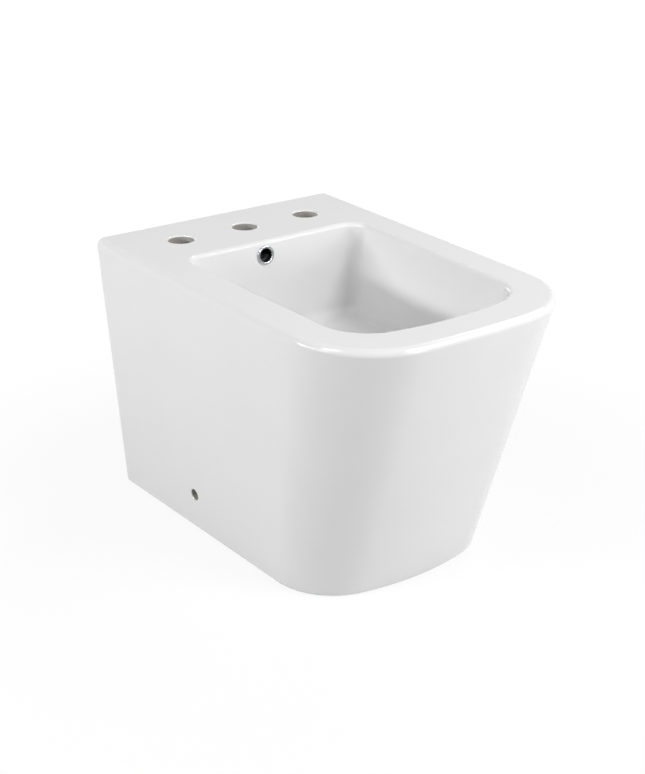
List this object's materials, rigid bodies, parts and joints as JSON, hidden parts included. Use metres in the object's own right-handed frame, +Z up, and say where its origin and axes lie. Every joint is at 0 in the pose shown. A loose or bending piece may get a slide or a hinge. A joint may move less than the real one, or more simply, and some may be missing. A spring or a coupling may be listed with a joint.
{
  "type": "bidet",
  "caption": "Back-to-wall bidet: tapered glazed china body with bare tap holes, bowl with overflow, push-open waste, bottle trap and floor brackets.",
  "frame": {"origin": "middle of the bounding box in plan, on the floor", "axes": "+Z up; the back stands against a wall at +Y; the user faces the wall from -Y; +X is the right seen from the front"},
  "size_m": [0.3784, 0.5506, 0.366],
  "materials": {
    "china": "gloss",
    "chrome": "polished",
    "brass": "satin",
    "rubber": "matt",
    "plastic": "satin",
    "bracket_plastic": "matt",
    "spring_steel": "bright"
  },
  "bodies": {
    "bidet": {"ceramic_body": "china", "overflow_ring": "chrome", "waste_body": "chrome", "flange_gasket": "rubber", "tapered_gasket": "rubber", "slip_washer": "plastic", "backnut": "brass", "click_cartridge": "brass", "click_spring": "spring_steel", "trap_inlet_nut": "plastic", "trap_inlet_washer": "rubber", "trap_inlet_tube": "plastic", "trap_top_nut": "plastic", "trap_top_seal": "rubber", "trap_body": "plastic", "trap_cup": "plastic", "trap_cup_seal": "rubber", "trap_outlet_nut": "plastic", "trap_outlet_seal": "rubber", "trap_outlet_pipe": "plastic", "floor_bracket_left": "bracket_plastic", "floor_bracket_right": "bracket_plastic"},
    "plug": {"click_plunger": "chrome", "plug_cap": "chrome", "plug_seal": "rubber"}
  },
  "joints": [
    {"name": "plug_slide", "type": "slide", "parent": "bidet", "child": "plug", "axis": [0, 0, 1], "range_m": [0, 0.008], "deforming": ["click_spring"]}
  ]
}
